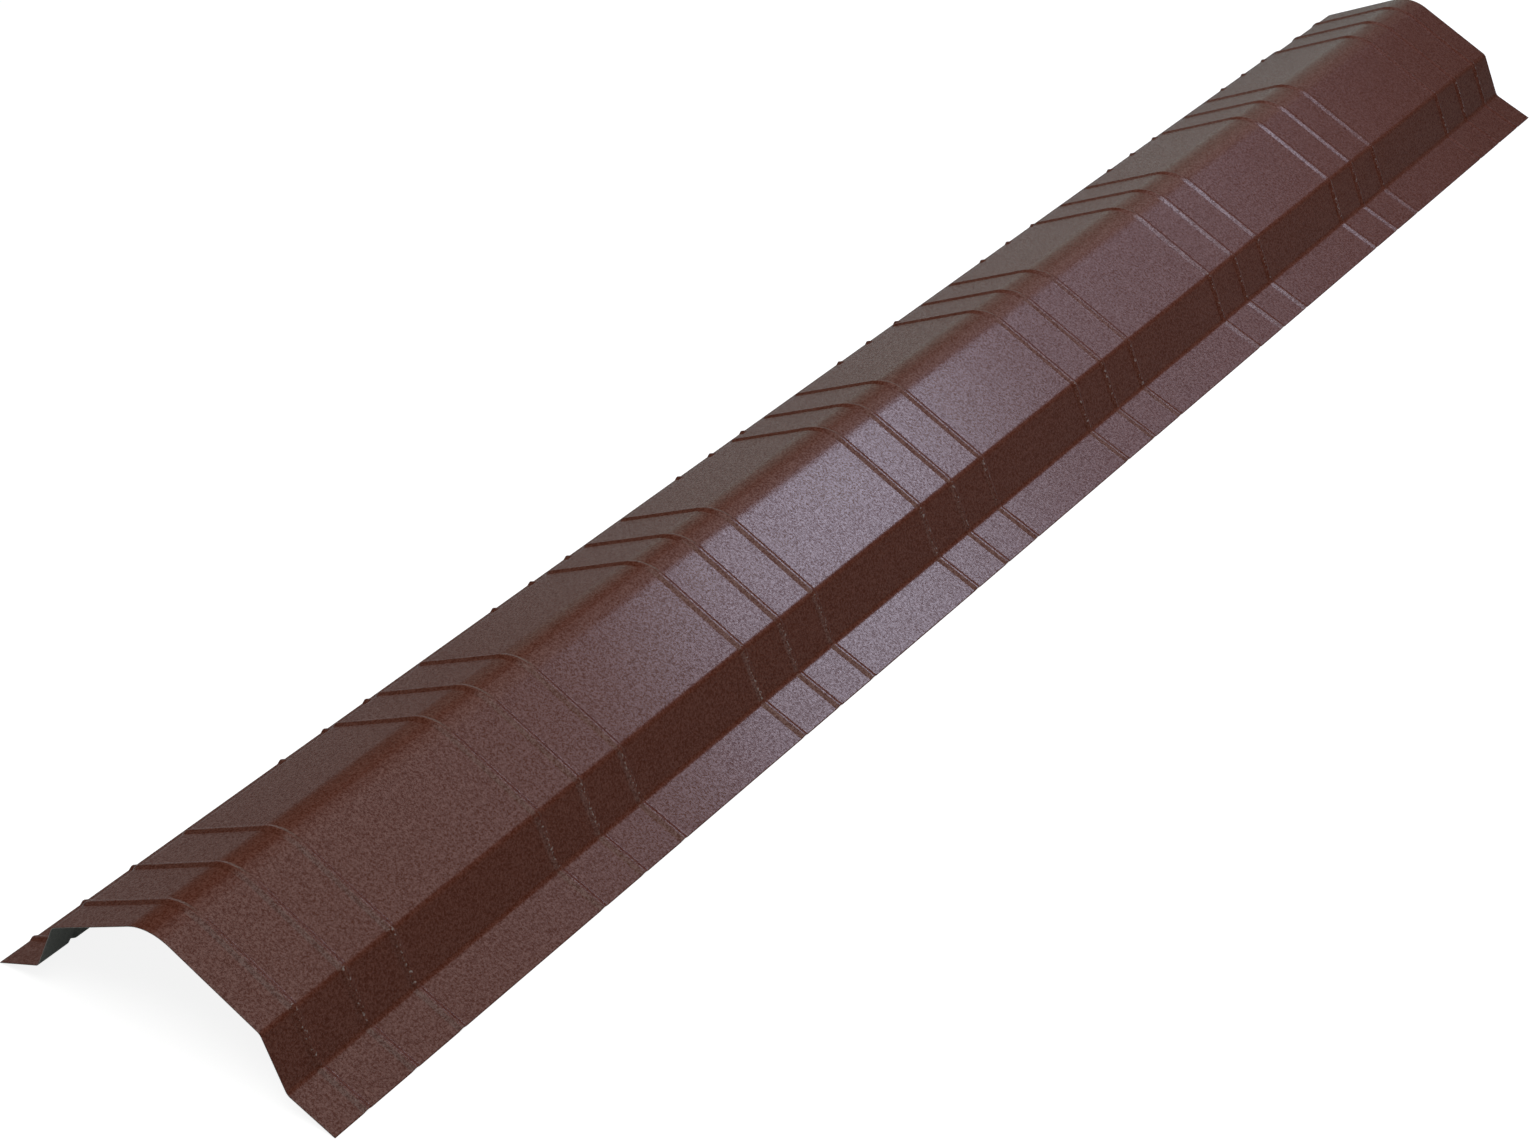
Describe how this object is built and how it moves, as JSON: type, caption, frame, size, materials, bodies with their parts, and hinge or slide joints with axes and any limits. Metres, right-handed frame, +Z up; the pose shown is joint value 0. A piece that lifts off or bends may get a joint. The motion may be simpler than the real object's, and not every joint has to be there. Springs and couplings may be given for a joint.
{
  "type": "roof ridge cap",
  "caption": "Bent sheet-metal ridge cap with a rounded crest, stepped sides, slanted flanges and cross beads that stiffen it, laid over the ridge of a roof to close the joint.",
  "frame": {"origin": "middle of the length and width, on the level floor under the flange edges", "axes": "+X across the cap, +Y along the ridge, +Z up"},
  "size_m": [0.3134, 2, 0.1032],
  "materials": {
    "brown_coated_sheet": "matt, fine-textured chocolate brown coating outside, thin grey-green backing coat inside"
  },
  "bodies": {
    "root": {"ridge_cap_sheet": "brown_coated_sheet"}
  },
  "joints": []
}
